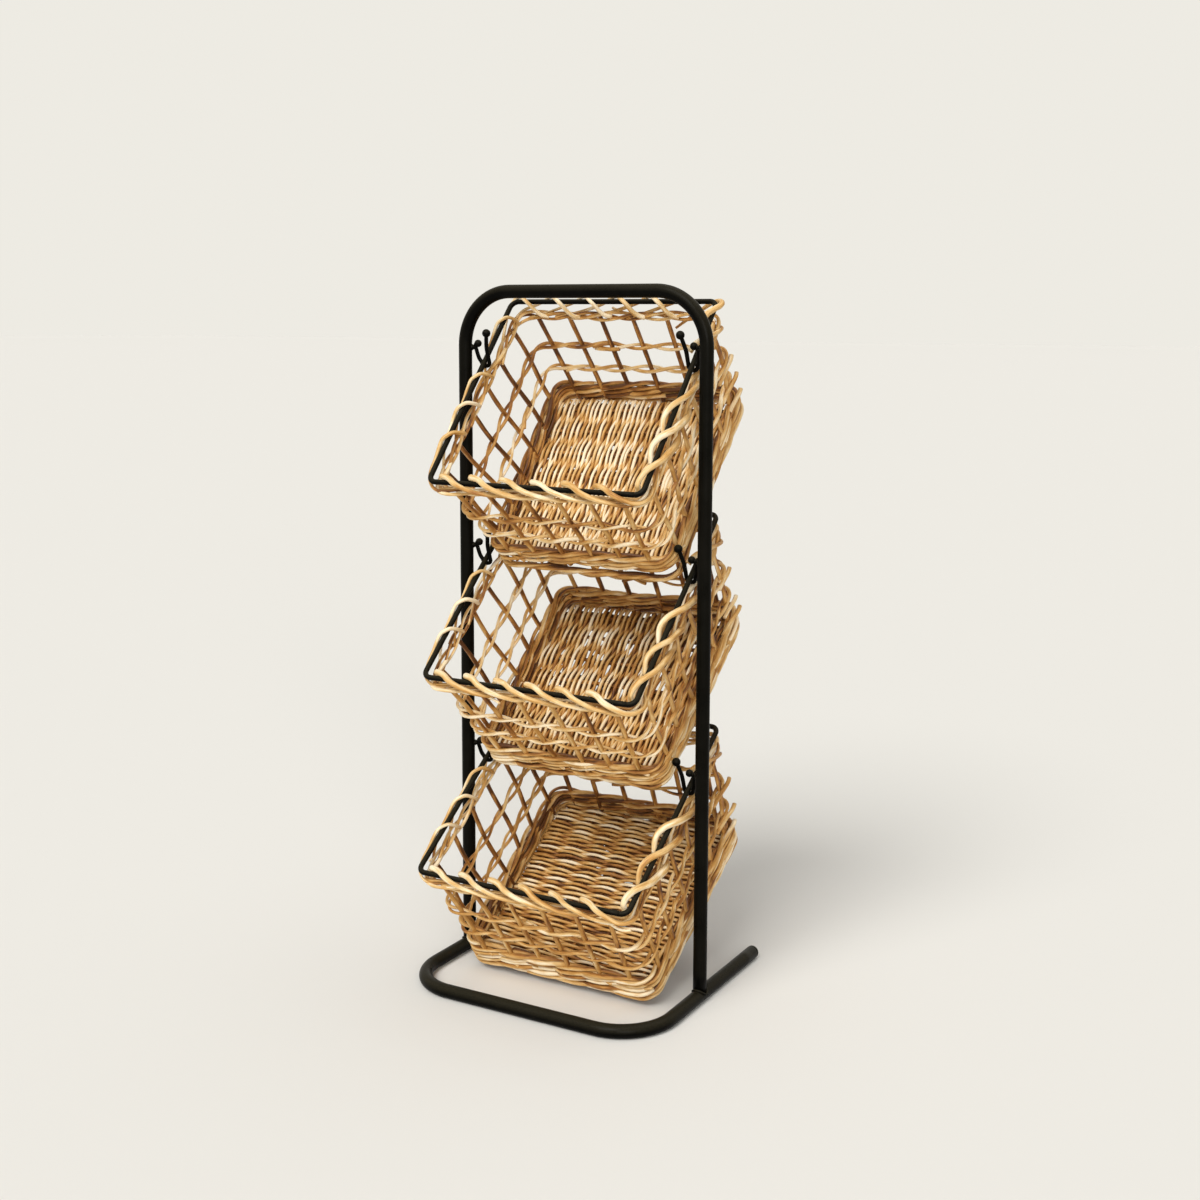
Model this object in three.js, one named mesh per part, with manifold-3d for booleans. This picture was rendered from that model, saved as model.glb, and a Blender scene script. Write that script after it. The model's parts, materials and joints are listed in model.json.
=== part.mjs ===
// Tiered storage basket: a bent steel tube stand with three wicker trays hung in wire hooks.
// Millimetres, +Z up, +Y to the back, +X to the right seen from the front.
import * as THREE from 'three';
import { mergeVertices } from 'three/addons/utils/BufferGeometryUtils.js';
import Module from 'manifold-3d';

const wasm = await Module();
wasm.setup();

// Tube stand
const standWidth = 255;
const standDepth = 220;
const tubeDiameter = 12;
const tubeWall = 1.2;
const tubeSides = 12;
const bendRadius = 47.5;
const bendSteps = 7;
const frontReach = 107;
const seatGap = 0.3;

// Plugs in the open rear ends of the base
const plugStem = 10;
const plugLip = 1;
const plugDome = 4.2;

// Wire hooks on the inner faces of the uprights
const hookWire = 3.2;
const hookSides = 8;
const hookReach = 10.5;
const hookDepth = 19;
const hookFlat = 1;
const bowSteps = 3;
const hookSetback = 2;
const hookLean = 20;
const hookBelowBend = 0.2;
const prongRise = 11.5;
const prongSplay = 2.6;
const upperBall = 7.4;
const lowerBall = 6.6;
const lowerBallReach = 6.8;
const ballRings = 4;

// Tilts of the three trays, and the room below each of them
const upperTilt = 49.6;
const middleTilt = 43.2;
const lowerTilt = 35.8;
const upperClearance = 1.9;
const middleClearance = 21.8;
const floorClearance = 10.8;

// Rim wire of a tray, sizes to the middle of the wire
const rimWire = 4;
const rimLength = 204;
const rimCorner = 7;
const pivotBehindMiddle = 30;

// Wicker body of a tray
const bodyDepth = 117.5;
const baseHookClearance = 3.6;
const endTaper = 7;
const baseForward = 12;
const baseCorner = 14;
const matThickness = 6;
const matRise = 3;
const stripWidth = 12;
const stripPitch = 22;
const stripRise = 1.5;
const waleThickness = 7;
const waleHeight = 18;
const borderDrop = 18;
const borderHeight = 9;
const borderThickness = 7;
const borderCorner = 14;
const stakeThickness = 3.6;
const stakesPerWall = 6;
const stakeInset = 18;
const rowThickness = 5.4;
const rowShares = [0.37, 0.71];
const wrapThickness = 2.4;
const wrapWidth = 3.6;
const wrapsAcross = [-0.62, 0, 0.62];
const wrapsAlong = [-0.7, -0.15, 0.75];
const cornerSteps = 4;

// How far the base of each hand-woven tray hangs lower and bulges wider, at its front and at its back edge
const settling = {
  top: { lower: [0, 0], wider: [0, 7] },
  middle: { lower: [4, 13], wider: [0, 5] },
  bottom: { lower: [4, 15], wider: [5, 9] },
};

const blackPaint = new THREE.MeshStandardMaterial({ color: 0x1d1c1a, roughness: 0.42, metalness: 0.35 });
const plugPlastic = new THREE.MeshStandardMaterial({ color: 0x161514, roughness: 0.6, metalness: 0 });
const willow = new THREE.MeshStandardMaterial({ color: 0xc79a5f, roughness: 0.62, metalness: 0 });
const palmMat = new THREE.MeshStandardMaterial({ color: 0xb98a50, roughness: 0.66, metalness: 0 });

const radians = THREE.MathUtils.degToRad;
const tubeRadius = tubeDiameter / 2;
const uprightX = standWidth / 2 - tubeRadius;
const innerFaceX = uprightX - tubeRadius;
const frontBarY = tubeRadius - frontReach;
const rimWidth = 2 * (innerFaceX - hookReach);
const hookBow = (rimWire + hookWire) / 2;
const prongReach = hookFlat + hookBow + prongSplay + upperBall / 2;
const baseWidth = rimWidth - 2 * (prongReach + baseHookClearance);
const baseLength = rimLength - 2 * endTaper;
const rimSeat = hookBow + seatGap;
const wrapReach = rimWire / 2 + seatGap + wrapThickness;
const hookRise = hookDepth * Math.cos(radians(hookLean));

// A point of a tray, measured from its pivot, with the tray at its tilt
function tilted(y, z, tilt) {
  const point = new THREE.Vector3(0, y - pivotBehindMiddle, z + rimSeat);
  return point.applyAxisAngle(new THREE.Vector3(1, 0, 0), radians(tilt));
}

// Height between two hook pairs: the upper tray's base clears the wrapped back rim of the lower tray
function tierRise(tilt, tiltBelow, clearance) {
  const baseNormal = tilted(0, 1, tilt).sub(tilted(0, 0, tilt));
  const backRim = tilted(rimLength / 2, 0, tiltBelow);
  const turn = radians(Math.abs(tilt - tiltBelow));
  const wrapCorner = wrapReach * (Math.cos(turn) + Math.sin(turn));
  const above = bodyDepth + clearance + wrapCorner + baseNormal.dot(backRim) - rimSeat;
  return above / baseNormal.z;
}

// Heights from the floor up: the lowest tray's front edge, the three hook pairs, the top of the arch
const frontEdge = tilted(-baseForward - baseLength / 2, -bodyDepth, lowerTilt);
const lowerHookHeight = floorClearance - frontEdge.z + hookRise;
const middleHookHeight = lowerHookHeight + tierRise(middleTilt, lowerTilt, middleClearance);
const upperHookHeight = middleHookHeight + tierRise(upperTilt, middleTilt, upperClearance);
const standHeight = upperHookHeight + hookBelowBend + bendRadius + tubeRadius;

function toSolid(geometry) {
  const bare = geometry.clone();
  bare.deleteAttribute('normal');
  bare.deleteAttribute('uv');
  const welded = mergeVertices(bare, 1e-4);
  const triVerts = welded.index
    ? Uint32Array.from(welded.index.array)
    : Uint32Array.from({ length: welded.attributes.position.count }, (_, i) => i);
  const vertProperties = Float32Array.from(welded.attributes.position.array);
  return new wasm.Manifold(new wasm.Mesh({ numProp: 3, vertProperties, triVerts }));
}

function toGeometry(solid) {
  const mesh = solid.getMesh();
  const geometry = new THREE.BufferGeometry();
  geometry.setAttribute('position', new THREE.BufferAttribute(Float32Array.from(mesh.vertProperties), 3));
  geometry.setIndex(new THREE.BufferAttribute(Uint32Array.from(mesh.triVerts), 1));
  geometry.computeVertexNormals();
  return geometry;
}

function join(geometries) {
  return toGeometry(geometries.map(toSolid).reduce((whole, piece) => whole.add(piece)));
}

function node(name, geometry, material) {
  const mesh = new THREE.Mesh(geometry, material);
  mesh.name = name;
  return mesh;
}

// A regular polygon with flats square to both axes
function polygonPath(acrossFlats, sides, kind) {
  const radius = acrossFlats / 2 / Math.cos(Math.PI / sides);
  const path = new kind();
  for (let i = 0; i < sides; i += 1) {
    const angle = ((i + 0.5) * 2 * Math.PI) / sides;
    path[i ? 'lineTo' : 'moveTo'](radius * Math.cos(angle), radius * Math.sin(angle));
  }
  path.closePath();
  return path;
}

// A path that steps through chosen stations, so straight runs stay single spans
class StationPath extends THREE.Curve {
  constructor(points, tangents) {
    super();
    this.points = points;
    this.tangents = tangents;
  }

  getPointAt(u, target = new THREE.Vector3()) {
    return target.copy(this.points[Math.round(u * (this.points.length - 1))]);
  }

  getTangentAt(u, target = new THREE.Vector3()) {
    return target.copy(this.tangents[Math.round(u * (this.points.length - 1))]);
  }
}

// Three straight runs joined by two quarter bends, in the plane of the axes along and across
function bentPath(start, along, across, span, reach) {
  const points = [start.clone()];
  const tangents = [along.clone()];
  const corner = start.clone().addScaledVector(along, reach - bendRadius);
  const firstCentre = corner.clone().addScaledVector(across, bendRadius);
  const secondCentre = corner.clone().addScaledVector(across, span - bendRadius);
  for (const [centre, turn] of [[firstCentre, 0], [secondCentre, Math.PI / 2]]) {
    for (let i = 0; i <= bendSteps; i += 1) {
      const angle = turn + ((i / bendSteps) * Math.PI) / 2;
      const out = across.clone().multiplyScalar(-Math.cos(angle)).addScaledVector(along, Math.sin(angle));
      points.push(centre.clone().addScaledVector(out, bendRadius));
      tangents.push(across.clone().multiplyScalar(Math.sin(angle)).addScaledVector(along, Math.cos(angle)));
    }
  }
  points.push(start.clone().addScaledVector(across, span));
  tangents.push(along.clone().negate());
  return new StationPath(points, tangents);
}

function sweep(section, path) {
  return new THREE.ExtrudeGeometry(section, {
    steps: path.points.length - 1,
    bevelEnabled: false,
    extrudePath: path,
  });
}

function tubeSection() {
  const section = polygonPath(tubeDiameter, tubeSides, THREE.Shape);
  section.holes.push(polygonPath(tubeDiameter - 2 * tubeWall, tubeSides, THREE.Path));
  return section;
}

// The base loop lies on the floor, open at the back; the arch stands on its side rails
function makeStand() {
  const stand = new THREE.Group();
  const up = new THREE.Vector3(0, 0, 1);
  const forward = new THREE.Vector3(0, -1, 0);
  const right = new THREE.Vector3(1, 0, 0);
  const railEnd = standDepth - frontReach - plugDome - plugLip - seatGap;
  const loopStart = new THREE.Vector3(-uprightX, railEnd, tubeRadius);
  const loop = bentPath(loopStart, forward, right, 2 * uprightX, railEnd - frontBarY);
  stand.add(node('base_loop', sweep(tubeSection(), loop), blackPaint));

  const archStart = new THREE.Vector3(-uprightX, 0, tubeRadius);
  const arch = bentPath(archStart, up, right, 2 * uprightX, standHeight - tubeDiameter);
  let archSolid = toSolid(sweep(tubeSection(), arch));
  for (const side of [-1, 1]) {
    const saddleRadius = (tubeRadius + seatGap) / Math.cos(Math.PI / tubeSides);
    const saddle = new THREE.CylinderGeometry(saddleRadius, saddleRadius, 4 * tubeDiameter, tubeSides);
    saddle.rotateY(Math.PI / tubeSides);
    saddle.translate(side * uprightX, 0, 0);
    archSolid = archSolid.subtract(toSolid(saddle.translate(0, 0, tubeRadius)));
  }
  stand.add(node('arch_tube', toGeometry(archSolid), blackPaint));

  const stemRadius = tubeRadius - tubeWall - seatGap;
  const lipRadius = tubeRadius - seatGap / 2;
  const profile = [
    new THREE.Vector2(0, -plugStem),
    new THREE.Vector2(stemRadius, -plugStem),
    new THREE.Vector2(stemRadius, 0),
    new THREE.Vector2(lipRadius, 0),
    new THREE.Vector2(lipRadius, plugLip),
    new THREE.Vector2(lipRadius * Math.cos(Math.PI / 6), plugLip + plugDome * Math.sin(Math.PI / 6)),
    new THREE.Vector2(lipRadius * Math.cos(Math.PI / 3), plugLip + plugDome * Math.sin(Math.PI / 3)),
    new THREE.Vector2(0, plugLip + plugDome),
  ];
  for (const [name, side] of [['left', -1], ['right', 1]]) {
    const plug = node(`end_plug_${name}`, new THREE.LatheGeometry(profile, tubeSides), plugPlastic);
    plug.position.set(side * uprightX, railEnd + seatGap, tubeRadius);
    stand.add(plug);
  }
  return stand;
}

// A hook seen square on: x runs inward from the upright's face, y is the hook's own upright line
function hookGeometry() {
  const wire = hookWire / 2;
  const stubX = hookWire - seatGap;
  const bowY = hookBow - hookDepth;
  const bowX = hookFlat + hookBow;
  const route = [
    [lowerBallReach, wire],
    [lowerBallReach - lowerBall / 2, wire / 2],
    [stubX, -wire],
    [stubX + wire / 2, bowY / 2],
  ];
  for (const [side, start] of [[-1, Math.PI], [1, 1.5 * Math.PI]]) {
    for (let i = 0; i <= bowSteps; i += 1) {
      const angle = start + ((i / bowSteps) * Math.PI) / 2;
      route.push([hookReach + side * hookFlat + hookBow * Math.cos(angle), bowY + hookBow * Math.sin(angle)]);
    }
  }
  route.push([hookReach + bowX + prongSplay / 6, bowY / 2]);
  route.push([hookReach + bowX + prongSplay / 2, 0]);
  route.push([hookReach + bowX + prongSplay, prongRise]);
  const points = route.map(([x, y]) => new THREE.Vector3(x, y, 0));
  const last = points.length - 1;
  const tangents = points.map((_, i) => {
    const ahead = points[Math.min(i + 1, last)];
    return ahead.clone().sub(points[Math.max(i - 1, 0)]).normalize();
  });
  const rod = sweep(polygonPath(hookWire, hookSides, THREE.Shape), new StationPath(points, tangents));
  const stub = new THREE.CylinderGeometry(wire, wire, stubX - seatGap, hookSides);
  stub.rotateZ(Math.PI / 2).translate((stubX + seatGap) / 2, -wire, 0);
  const low = new THREE.SphereGeometry(lowerBall / 2, hookSides, ballRings);
  const high = new THREE.SphereGeometry(upperBall / 2, hookSides, ballRings);
  low.translate(...points[0].toArray());
  high.translate(...points[last].toArray());
  return join([rod, stub, low, high]);
}

// Both hooks of a pair lean forward at the top and face each other
function makeHook(name, side, height) {
  const hook = node(name, hookGeometry(), blackPaint);
  hook.rotation.set(Math.PI / 2 - side * radians(hookLean), 0, side > 0 ? Math.PI : 0, 'ZYX');
  hook.position.set(side * innerFaceX, hookSetback, height);
  return hook;
}

// Rectangle of the wicker wall's middle line, below the rim wire by the given drop
function wallLine(drop) {
  const share = drop / bodyDepth;
  const low = { x: (baseWidth - waleThickness) / 2, y: (baseLength - waleThickness) / 2 };
  return {
    halfX: THREE.MathUtils.lerp(rimWidth / 2, low.x, share),
    halfY: THREE.MathUtils.lerp(rimLength / 2, low.y, share),
    middleY: -baseForward * share,
    corner: THREE.MathUtils.lerp(borderCorner, baseCorner - waleThickness / 2, share),
  };
}

function roundedRectangle(kind, halfX, halfY, middleY, corner) {
  const path = new kind();
  const turns = [[1, -1, -90], [1, 1, 0], [-1, 1, 90], [-1, -1, 180]];
  for (const [sx, sy, start] of turns) {
    const cx = sx * (halfX - corner);
    const cy = middleY + sy * (halfY - corner);
    path.absarc(cx, cy, corner, radians(start), radians(start + 90), false);
  }
  path.closePath();
  return path;
}

// A rounded rectangular ring around the line, extruded up from z
function ringGeometry(line, thickness, z, height) {
  const half = thickness / 2;
  const { halfX, halfY, middleY, corner } = line;
  const outer = roundedRectangle(THREE.Shape, halfX + half, halfY + half, middleY, corner + half);
  outer.holes.push(roundedRectangle(THREE.Path, halfX - half, halfY - half, middleY, corner - half));
  const ring = new THREE.ExtrudeGeometry(outer, {
    depth: height,
    bevelEnabled: false,
    curveSegments: cornerSteps,
  });
  return ring.translate(0, 0, z);
}

// The rim: an eight-sided wire bent to a rectangle
function rimGeometry() {
  const flat = rimWire * (Math.SQRT2 - 1);
  const chamfer = (rimWire - flat) / 2;
  const half = flat / 2;
  const outer = roundedRectangle(THREE.Shape, rimWidth / 2 + half, rimLength / 2 + half, 0, rimCorner + half);
  const inner = roundedRectangle(THREE.Path, rimWidth / 2 - half, rimLength / 2 - half, 0, rimCorner - half);
  outer.holes.push(inner);
  const wire = new THREE.ExtrudeGeometry(outer, {
    depth: flat,
    bevelEnabled: true,
    bevelThickness: chamfer,
    bevelSize: chamfer,
    bevelSegments: 1,
    curveSegments: cornerSteps,
  });
  return wire.translate(0, 0, -half);
}

// A straight square cane between two levels, shortened so that its slanted ends stay between them
function cane(from, to, thickness, facing) {
  const run = to.clone().sub(from);
  const slant = Math.hypot(run.x, run.y) / run.z;
  const stick = new THREE.BoxGeometry(thickness, thickness, run.length() - thickness * slant);
  const along = run.normalize();
  const side = new THREE.Vector3().crossVectors(facing, along).normalize();
  const out = new THREE.Vector3().crossVectors(along, side);
  stick.applyMatrix4(new THREE.Matrix4().makeBasis(side, out, along));
  return stick.translate(...from.clone().add(to).multiplyScalar(0.5).toArray());
}

// One wall: upright stakes and two woven rows, each row turning half of both corners
function wallGeometry(facingX, facingY) {
  const facing = new THREE.Vector3(facingX, facingY, 0);
  const sideways = new THREE.Vector3(-facingY, facingX, 0);
  const halfSpan = (line) => Math.abs(facingX) * line.halfY + Math.abs(facingY) * line.halfX;
  const place = (line, offset) => {
    const point = new THREE.Vector3(0, line.middleY, 0);
    point.addScaledVector(facing, Math.abs(facingX) * line.halfX + Math.abs(facingY) * line.halfY);
    return point.addScaledVector(sideways, offset);
  };
  const top = borderDrop + borderHeight / 2 + seatGap;
  const bottom = bodyDepth - waleHeight - seatGap;
  const pieces = [];
  for (let i = 0; i < stakesPerWall; i += 1) {
    const share = (2 * i) / (stakesPerWall - 1) - 1;
    const [from, to] = [bottom, top].map((drop) => {
      const line = wallLine(drop);
      return place(line, share * (halfSpan(line) - stakeInset)).setZ(-drop);
    });
    pieces.push(cane(from, to, stakeThickness, facing));
  }
  for (const share of rowShares) {
    const drop = THREE.MathUtils.lerp(top, bottom, share);
    const line = wallLine(drop);
    const points = [];
    const tangents = [];
    const cut = seatGap / 2 / line.corner;
    for (const end of [-1, 1]) {
      const centre = place(line, end * (halfSpan(line) - line.corner));
      centre.addScaledVector(facing, -line.corner);
      for (let i = 0; i <= cornerSteps / 2; i += 1) {
        const stepShare = end < 0 ? 1 - (2 * i) / cornerSteps : (2 * i) / cornerSteps;
        const angle = stepShare * (Math.PI / 4 - cut);
        const out = facing.clone().multiplyScalar(Math.cos(angle));
        out.addScaledVector(sideways, end * Math.sin(angle));
        points.push(centre.clone().addScaledVector(out, line.corner).setZ(-drop));
        tangents.push(new THREE.Vector3(-out.y, out.x, 0));
      }
    }
    const half = rowThickness / 2;
    const section = new THREE.Shape();
    section.moveTo(-half, -half).lineTo(half, -half).lineTo(half, half).lineTo(-half, half).closePath();
    pieces.push(sweep(section, new StationPath(points, tangents)));
  }
  return join(pieces);
}

// A cane looped round the rim wire, with its tail down into the border
function wrapGeometry() {
  const hole = rimWire / 2 + seatGap;
  const half = wrapReach;
  const tail = wrapWidth / 2;
  const loop = new THREE.Shape();
  loop.moveTo(-tail, -borderDrop).lineTo(tail, -borderDrop).lineTo(tail, -half).lineTo(half, -half);
  loop.lineTo(half, half).lineTo(-half, half).lineTo(-half, -half).lineTo(-tail, -half).closePath();
  const eye = new THREE.Path();
  eye.moveTo(-hole, -hole).lineTo(hole, -hole).lineTo(hole, hole).lineTo(-hole, hole).closePath();
  loop.holes.push(eye);
  const wrap = new THREE.ExtrudeGeometry(loop, { depth: wrapWidth, bevelEnabled: false });
  return wrap.translate(0, 0, -wrapWidth / 2).rotateX(Math.PI / 2);
}

// The plaited border below the rim, hung on the wire by its wraps
function borderGeometry() {
  const lowEdge = -borderDrop - borderHeight / 2;
  const pieces = [ringGeometry(wallLine(borderDrop), borderThickness, lowEdge, borderHeight)];
  for (const end of [-1, 1]) {
    for (const share of wrapsAcross) {
      const wrap = wrapGeometry().rotateZ(Math.PI / 2);
      pieces.push(wrap.translate((share * rimWidth) / 2, (end * rimLength) / 2, 0));
    }
    for (const share of wrapsAlong) {
      pieces.push(wrapGeometry().translate((end * rimWidth) / 2, (share * rimLength) / 2, 0));
    }
  }
  return join(pieces);
}

// The woven base: a thin plate with broad raised strips that run along its weavers
function matGeometry(across) {
  const inset = waleThickness / 2 + seatGap;
  const { halfX, halfY, middleY, corner } = wallLine(bodyDepth);
  const floor = roundedRectangle(THREE.Shape, halfX - inset, halfY - inset, middleY, corner - inset);
  const slab = (depth, z) => {
    const options = { depth, bevelEnabled: false, curveSegments: cornerSteps };
    return toSolid(new THREE.ExtrudeGeometry(floor, options).translate(0, 0, z));
  };
  const span = 2 * ((across ? halfY : halfX) - inset);
  const count = Math.floor((span - stripWidth) / stripPitch) + 1;
  const strips = [];
  for (let i = 0; i < count; i += 1) {
    const offset = (i - (count - 1) / 2) * stripPitch;
    const [sizeX, sizeY] = across ? [2 * halfX, stripWidth] : [stripWidth, 2 * halfY];
    const strip = new THREE.BoxGeometry(sizeX, sizeY, 2 * matThickness);
    strips.push(strip.translate(across ? 0 : offset, middleY + (across ? offset : 0), matThickness / 2));
  }
  const raised = toSolid(join(strips)).intersect(slab(matThickness, 0));
  const mat = toGeometry(raised.add(slab(matThickness - 2 * stripRise, stripRise)));
  return mat.translate(0, 0, matRise - bodyDepth);
}

// The wicker below the rim takes on the tray's own settled shape
function settle(geometry, tier) {
  const { lower, wider } = settling[tier];
  const points = geometry.attributes.position;
  const point = new THREE.Vector3();
  for (let i = 0; i < points.count; i += 1) {
    point.fromBufferAttribute(points, i);
    const share = THREE.MathUtils.clamp(-point.z / bodyDepth, 0, 1);
    const back = THREE.MathUtils.clamp(0.5 + (point.y + baseForward * share) / baseLength, 0, 1);
    point.z -= share * THREE.MathUtils.lerp(lower[0], lower[1], back);
    point.x *= 1 + (2 * share * THREE.MathUtils.lerp(wider[0], wider[1], back)) / baseWidth;
    points.setXYZ(i, point.x, point.y, point.z);
  }
  geometry.computeVertexNormals();
  return geometry;
}

// A tray hangs by its side wires in the hooks and turns about the bottom of their bows
function makeTray(tier, hookHeight, tilt, weaversAcross) {
  const pivot = new THREE.Group();
  pivot.position.set(0, hookSetback + hookDepth * Math.sin(radians(hookLean)), hookHeight - hookRise);
  pivot.rotation.x = radians(tilt);
  const tray = new THREE.Group();
  tray.position.set(0, -pivotBehindMiddle, rimSeat);
  pivot.add(tray);

  tray.add(node(`${tier}_rim_wire`, rimGeometry(), blackPaint));
  tray.add(node(`${tier}_border_band`, settle(borderGeometry(), tier), willow));
  tray.add(node(`${tier}_front_wall`, settle(wallGeometry(0, -1), tier), willow));
  tray.add(node(`${tier}_back_wall`, settle(wallGeometry(0, 1), tier), willow));
  tray.add(node(`${tier}_left_wall`, settle(wallGeometry(-1, 0), tier), willow));
  tray.add(node(`${tier}_right_wall`, settle(wallGeometry(1, 0), tier), willow));

  const wale = ringGeometry(wallLine(bodyDepth), waleThickness, -bodyDepth, waleHeight);
  tray.add(node(`${tier}_base_wale`, settle(wale, tier), willow));
  tray.add(node(`${tier}_base_mat`, settle(matGeometry(weaversAcross), tier), palmMat));
  return pivot;
}

const group = new THREE.Group();
const rack = new THREE.Group();
rack.add(makeStand());
const tiers = [
  ['top', upperHookHeight, upperTilt, false],
  ['middle', middleHookHeight, middleTilt, false],
  ['bottom', lowerHookHeight, lowerTilt, true],
];
for (const [tier, height, tilt, weaversAcross] of tiers) {
  rack.add(makeHook(`${tier}_left_hook`, -1, height));
  rack.add(makeHook(`${tier}_right_hook`, 1, height));
  rack.add(makeTray(tier, height, tilt, weaversAcross));
}
// The origin is on the floor, under the middle of the whole rack
const extent = new THREE.Box3().setFromObject(rack);
rack.position.y = -(extent.min.y + extent.max.y) / 2;
group.add(rack);

export default group;
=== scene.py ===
import bpy
import json
import math
import random
import numpy as np
from mathutils import Matrix, Vector


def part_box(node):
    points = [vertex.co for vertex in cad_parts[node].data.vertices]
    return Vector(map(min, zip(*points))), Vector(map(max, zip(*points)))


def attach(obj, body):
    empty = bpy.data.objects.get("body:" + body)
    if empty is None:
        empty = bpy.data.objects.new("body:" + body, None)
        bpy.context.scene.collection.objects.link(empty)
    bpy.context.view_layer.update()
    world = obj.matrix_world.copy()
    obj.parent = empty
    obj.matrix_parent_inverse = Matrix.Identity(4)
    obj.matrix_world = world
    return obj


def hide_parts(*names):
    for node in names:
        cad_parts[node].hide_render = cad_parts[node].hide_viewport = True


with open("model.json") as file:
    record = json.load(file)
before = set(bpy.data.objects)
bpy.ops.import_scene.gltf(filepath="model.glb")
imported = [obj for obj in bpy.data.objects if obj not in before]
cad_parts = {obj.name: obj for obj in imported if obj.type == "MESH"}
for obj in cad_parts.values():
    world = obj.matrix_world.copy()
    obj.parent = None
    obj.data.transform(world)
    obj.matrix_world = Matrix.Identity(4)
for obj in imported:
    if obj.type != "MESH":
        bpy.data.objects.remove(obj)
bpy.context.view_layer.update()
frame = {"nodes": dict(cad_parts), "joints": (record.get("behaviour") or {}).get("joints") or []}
scene = bpy.context.scene
tiers = ("top", "middle", "bottom")
pivots = {joint["child"]: Vector(joint["pos_m"]) for joint in frame["joints"]}
print("frame loaded:", len(frame["nodes"]), "nodes")


# camera first: same place and lens as the photograph
photoView = {
    "azimuth": 28.49,  # degrees, to the right of the front
    "elevation": 7.04,
    "roll": 0.40,
    "distance": 1.3346,
    "aim": (0.069, 0.0, 0.41989),  # measured from the plane of the arch
    "focalPixels": 1560.6,
    "middlePixel": (650, 520),
    "imagePixels": 1200,
    "sensor": 36.0,
    "clipStart": 0.01,
}


def setCamera(view):
    az, el, roll = (math.radians(view[k]) for k in ("azimuth", "elevation", "roll"))
    back = Vector((math.sin(az) * math.cos(el), -math.cos(az) * math.cos(el), math.sin(el)))
    right = Vector((math.cos(az), math.sin(az), 0))
    up = back.cross(right)
    sideways = right * math.cos(roll) + up * math.sin(roll)
    upright = back.cross(sideways)
    archLow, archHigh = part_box("arch_tube")
    aim = Vector(view["aim"]) + Vector((0, (archLow.y + archHigh.y) / 2, 0))
    data = bpy.data.cameras.new("photoCamera")
    data.sensor_width = view["sensor"]
    data.lens = view["focalPixels"] * view["sensor"] / view["imagePixels"]
    data.shift_x = 0.5 - view["middlePixel"][0] / view["imagePixels"]
    data.shift_y = view["middlePixel"][1] / view["imagePixels"] - 0.5
    data.clip_start = view["clipStart"]
    camera = bpy.data.objects.new("photoCamera", data)
    turn = Matrix((sideways, upright, back)).transposed().to_4x4()
    camera.matrix_world = Matrix.Translation(aim + back * view["distance"]) @ turn
    scene.collection.objects.link(camera)
    scene.camera = camera


setCamera(photoView)
print("camera set")


# small node helpers
def newMaterial(name):
    material = bpy.data.materials.new(name)
    material.use_nodes = True
    return material, material.node_tree, material.node_tree.nodes["Principled BSDF"]


def addNode(tree, kind, output, linked, values, **settings):
    node = tree.nodes.new("ShaderNode" + kind)
    for key, value in settings.items():
        setattr(node, key, value)
    for key, value in values.items():
        node.inputs[key].default_value = value
    for key, socket in linked.items():
        tree.links.new(socket, node.inputs[key])
    return node.outputs[output]


def noiseNode(tree, vector, scale, detail, roughness=0.5):
    values = {"Scale": scale, "Detail": detail, "Roughness": roughness}
    return addNode(tree, "TexNoise", "Fac", {"Vector": vector}, values)


def rampNode(tree, factor, stops):
    ramp = tree.nodes.new("ShaderNodeValToRGB")
    points = ramp.color_ramp.elements
    while len(points) < len(stops):
        points.new(0.5)
    for point, (place, colour) in zip(points, stops):
        point.position = place
        point.color = (*colour, 1)
    tree.links.new(factor, ramp.inputs["Fac"])
    return ramp.outputs["Color"]


def spreadNode(tree, factor, low, high, start, end):
    values = {"From Min": start, "From Max": end, "To Min": low, "To Max": high}
    return addNode(tree, "MapRange", "Result", {"Value": factor}, values)


def mixNode(tree, factor, first, colour):
    linked = {"Factor": factor, "A": first}
    return addNode(tree, "Mix", "Result", linked, {"B": (*colour, 1)}, data_type="RGBA")


def mathNode(tree, operation, first, second):
    return addNode(tree, "Math", "Value", {0: first, 1: second}, {}, operation=operation)


def bumpNode(tree, height, strength, distance):
    values = {"Strength": strength, "Distance": distance}
    return addNode(tree, "Bump", "Normal", {"Height": height}, values)


def finishShader(tree, shader, colour, gloss, bump, specular):
    for name, socket in (("Base Color", colour), ("Roughness", gloss), ("Normal", bump)):
        tree.links.new(socket, shader.inputs[name])
    shader.inputs["Specular IOR Level"].default_value = specular


# satin black paint, with a faint orange peel, and dust speckle plus a painted sheen that lightens what faces
# up
# a noise gives scale, detail and roughness; a spread gives low, high and the part of the noise it takes
paintLook = {
    "tones": [(0.34, (0.0012, 0.0011, 0.0008)), (0.72, (0.0040, 0.0036, 0.0026))],
    "dustAndTopSheen": (0.0240, 0.0205, 0.0120),
    "patchNoise": (38.0, 5.0, 0.62),
    "peelNoise": (1500.0, 2.0),
    "peelBump": (0.35, 0.00012),  # strength and height
    "topSheenSpread": (0.0, 1.0, -0.1, 0.75),  # of the normal's share that points up, from none to full dust and painted sheen
    "speckleSpread": (0.35, 1.0, 0.3, 0.6),
    "glossSpread": (0.24, 0.40, 0.3, 0.7),
    "specular": 0.035,
}


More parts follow.
